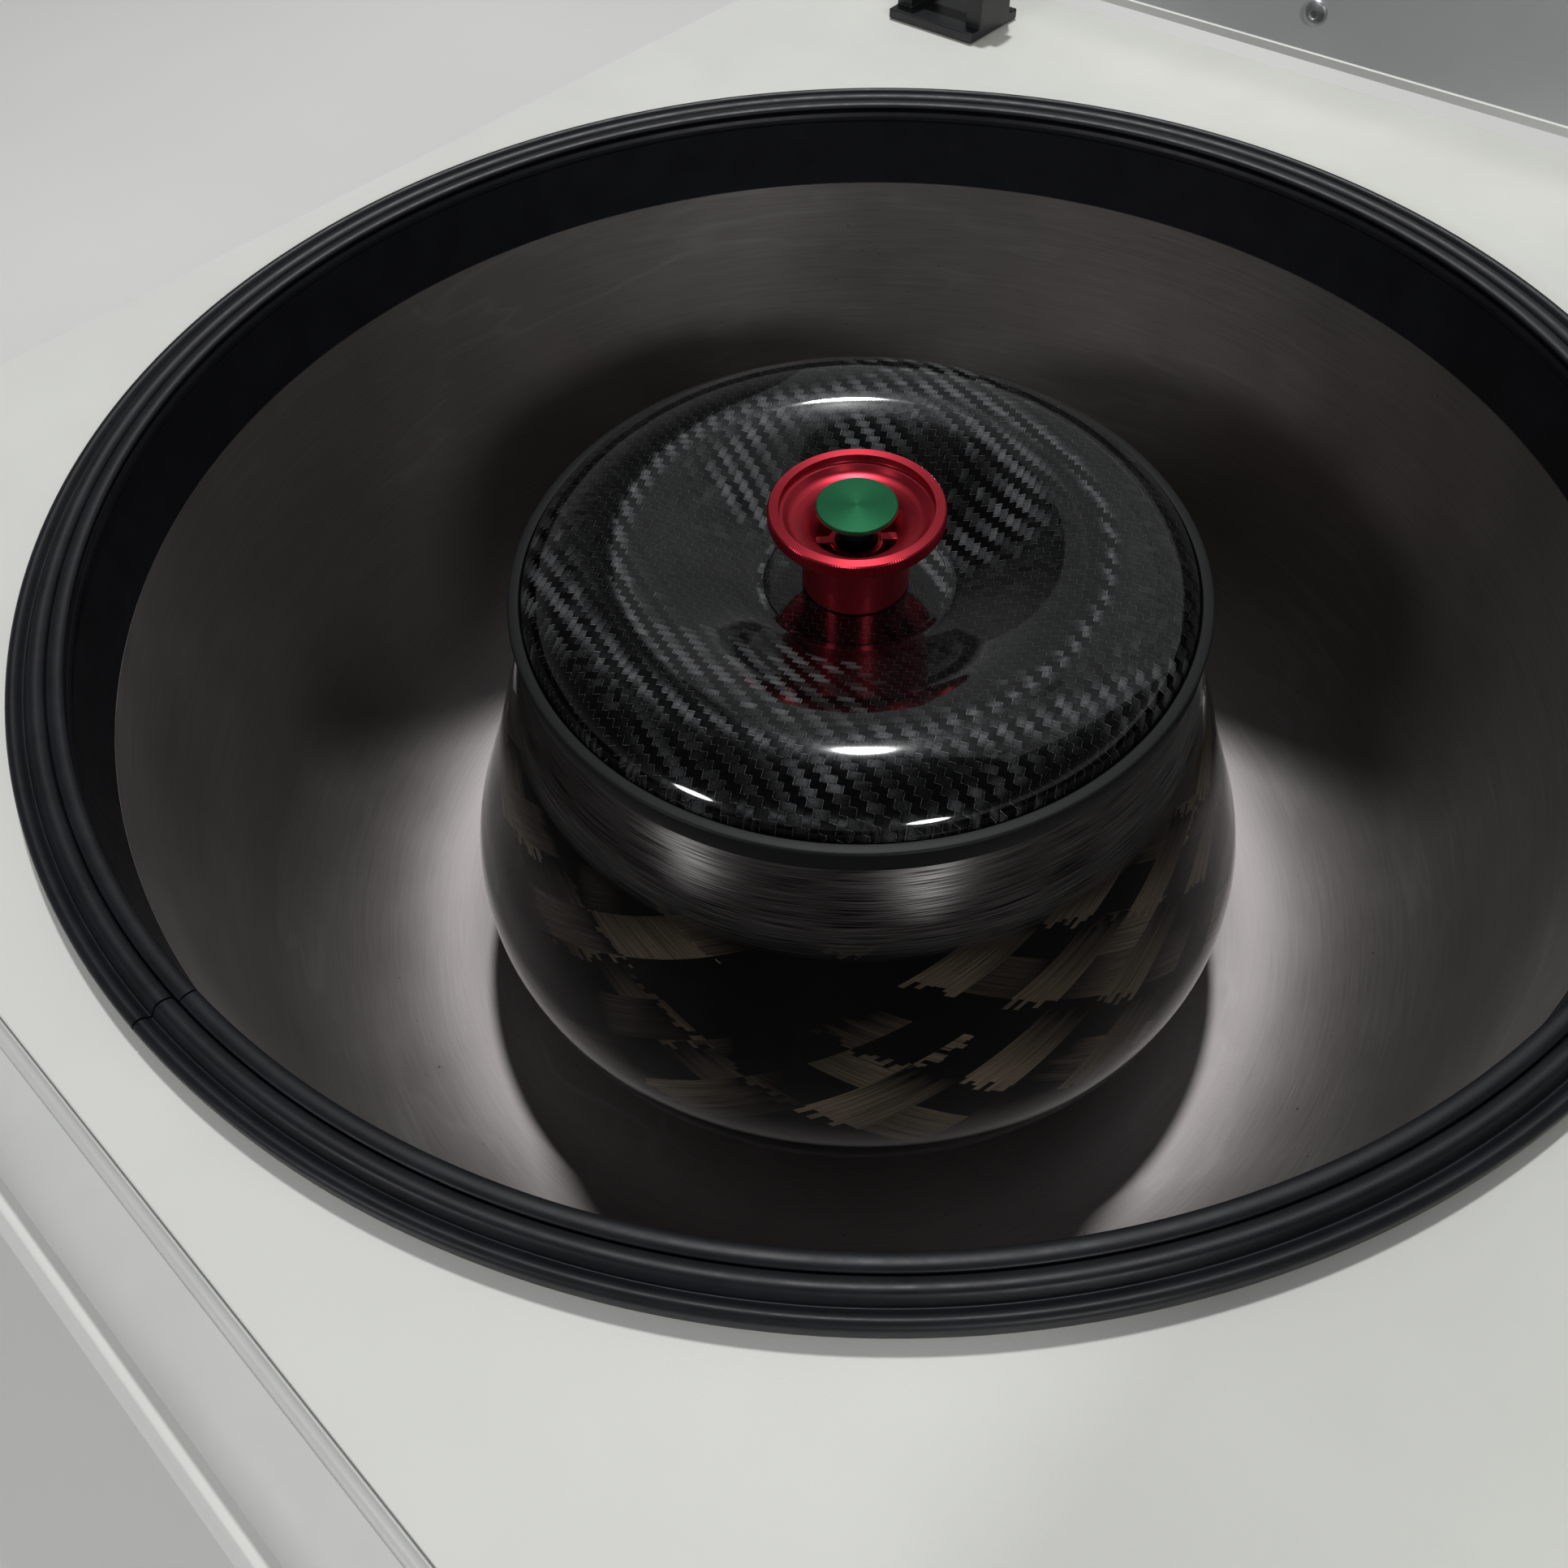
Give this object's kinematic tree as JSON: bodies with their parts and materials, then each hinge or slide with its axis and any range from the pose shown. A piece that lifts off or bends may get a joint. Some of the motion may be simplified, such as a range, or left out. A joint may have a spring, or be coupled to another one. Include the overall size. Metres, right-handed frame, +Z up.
{
  "type": "refrigerated laboratory centrifuge",
  "caption": "Benchtop centrifuge with a raised hinged lid, ring gasket, deep round bowl, fixed-angle bottle rotor with dished lid and lock knob, and a side tower with controls.",
  "frame": {"origin": "on the bench surface, under the middle of the whole outline", "axes": "+Z up, front towards -Y, +X to the right when facing the machine"},
  "size_m": [0.7478, 0.6184, 0.8862],
  "materials": {
    "white_paint": "fine orange peel, satin",
    "grey_plastic": "fine textured moulding",
    "white_cover": "fine textured moulding",
    "black_rubber": "satin",
    "bowl_steel": "drawn and polished",
    "plain_steel": "machined",
    "zinc_steel": "zinc plated sheet",
    "foam": "foamed in place",
    "copper": "drawn tube",
    "rotor_carbon": "filament wound, clear coated",
    "lid_carbon": "woven fibre, clear coated",
    "red_anodised": "red anodised",
    "green_anodised": "green anodised",
    "black_anodised": "black anodised",
    "black_enamel": "black enamel",
    "black_plastic": "moulded",
    "port_glass": "clear",
    "display_glass": "dark tinted lens",
    "key_plastic": "soft touch"
  },
  "bodies": {
    "cabinet": {"left_side_panel": "white_paint", "right_side_panel": "white_paint", "rear_panel": "white_paint", "deck_cover": "white_paint", "bulkhead": "white_paint", "tower_cover": "white_cover", "front_panel": "grey_plastic", "control_fascia": "grey_plastic", "foot_front_left": "black_rubber", "foot_front_right": "black_rubber", "foot_rear_left": "black_rubber", "foot_rear_right": "black_rubber", "mouth_gasket": "black_rubber", "mouth_collar": "black_rubber", "spindle_boot": "black_rubber", "motor_mount_1": "black_rubber", "motor_mount_2": "black_rubber", "motor_mount_3": "black_rubber", "bowl": "bowl_steel", "guard_ring": "plain_steel", "hinge_pin_left": "plain_steel", "hinge_pin_right": "plain_steel", "condenser_core": "plain_steel", "base_pan": "zinc_steel", "electronics_box": "zinc_steel", "latch_bracket_left": "zinc_steel", "latch_bracket_right": "zinc_steel", "bowl_insulation": "foam", "evaporator_coil": "copper", "motor_housing": "black_enamel", "compressor": "black_enamel", "fan_motor": "black_enamel", "hinge_bracket_left": "black_enamel", "hinge_bracket_right": "black_enamel", "fan_shroud": "black_plastic", "power_inlet": "black_plastic", "display_lens": "display_glass"},
    "lid": {"lid_shell": "white_cover", "lid_liner": "zinc_steel", "lid_window": "port_glass", "hinge_arm_left": "plain_steel", "hinge_arm_right": "plain_steel", "striker_left": "plain_steel", "striker_right": "plain_steel"},
    "drive": {"drive_spindle": "plain_steel"},
    "rotor": {"rotor_body": "rotor_carbon", "rotor_hub": "plain_steel"},
    "rotor_cover": {"rotor_lid": "lid_carbon", "rotor_lid_seal": "black_rubber"},
    "knob": {"rotor_knob": "red_anodised"},
    "button": {"lock_button": "green_anodised", "lock_stem": "black_anodised"},
    "fan": {"condenser_fan": "black_plastic"},
    "first_key": {"key_1": "key_plastic"},
    "second_key": {"key_2": "key_plastic"},
    "third_key": {"key_3": "key_plastic"},
    "fourth_key": {"key_4": "key_plastic"},
    "rocker": {"power_switch": "black_plastic"},
    "latch_left": {"latch_hook_left": "plain_steel"},
    "latch_right": {"latch_hook_right": "plain_steel"}
  },
  "joints": [
    {"name": "lid_hinge", "type": "hinge", "parent": "cabinet", "child": "lid", "pos_m": [-0.1095, 0.26522, 0.32161], "axis": [-1, 0, 0], "range_deg": [-80, 0]},
    {"name": "rotor_spin", "type": "hinge", "parent": "cabinet", "child": "drive", "pos_m": [-0.1095, -0.0068, 0.26601], "axis": [0, 0, 1], "continuous": true},
    {"name": "rotor_lift", "type": "slide", "parent": "drive", "child": "rotor", "axis": [0, 0, 1], "range_m": [0, 0.21]},
    {"name": "rotor_cover_lift", "type": "slide", "parent": "rotor", "child": "rotor_cover", "axis": [0, 0, 1], "range_m": [0, 0.08]},
    {"name": "knob_turn", "type": "hinge", "parent": "rotor_cover", "child": "knob", "pos_m": [-0.1095, -0.0068, 0.26601], "axis": [0, 0, 1], "continuous": true},
    {"name": "button_push", "type": "slide", "parent": "knob", "child": "button", "axis": [0, 0, -1], "range_m": [0, 0.004], "stiffness_N_per_m": 900, "springref_m": -0.001},
    {"name": "fan_spin", "type": "hinge", "parent": "cabinet", "child": "fan", "pos_m": [0.26442, 0.22592, 0.1253], "axis": [0, 1, 0], "continuous": true},
    {"name": "first_key_press", "type": "slide", "parent": "cabinet", "child": "first_key", "axis": [0, 0.9662, -0.2577], "range_m": [0, 0.0012], "stiffness_N_per_m": 1500, "springref_m": -0.0005},
    {"name": "second_key_press", "type": "slide", "parent": "cabinet", "child": "second_key", "axis": [0, 0.9662, -0.2577], "range_m": [0, 0.0012], "stiffness_N_per_m": 1500, "springref_m": -0.0005},
    {"name": "third_key_press", "type": "slide", "parent": "cabinet", "child": "third_key", "axis": [0, 0.9662, -0.2577], "range_m": [0, 0.0012], "stiffness_N_per_m": 1500, "springref_m": -0.0005},
    {"name": "fourth_key_press", "type": "slide", "parent": "cabinet", "child": "fourth_key", "axis": [0, 0.9662, -0.2577], "range_m": [0, 0.0012], "stiffness_N_per_m": 1500, "springref_m": -0.0005},
    {"name": "rocker_tilt", "type": "hinge", "parent": "cabinet", "child": "rocker", "pos_m": [0.29642, 0.30922, 0.074], "axis": [1, 0, 0], "range_deg": [0, 12]},
    {"name": "latch_left_swing", "type": "hinge", "parent": "cabinet", "child": "latch_left", "pos_m": [-0.2809, -0.22382, 0.24961], "axis": [-1, 0, 0], "range_deg": [-24, 0]},
    {"name": "latch_right_swing", "type": "hinge", "parent": "cabinet", "child": "latch_right", "pos_m": [0.0619, -0.22382, 0.24961], "axis": [-1, 0, 0], "range_deg": [-24, 0]}
  ],
  "couplings": [
    {"joint": "latch_right_swing", "follows": "latch_left_swing", "ratio": 1}
  ]
}
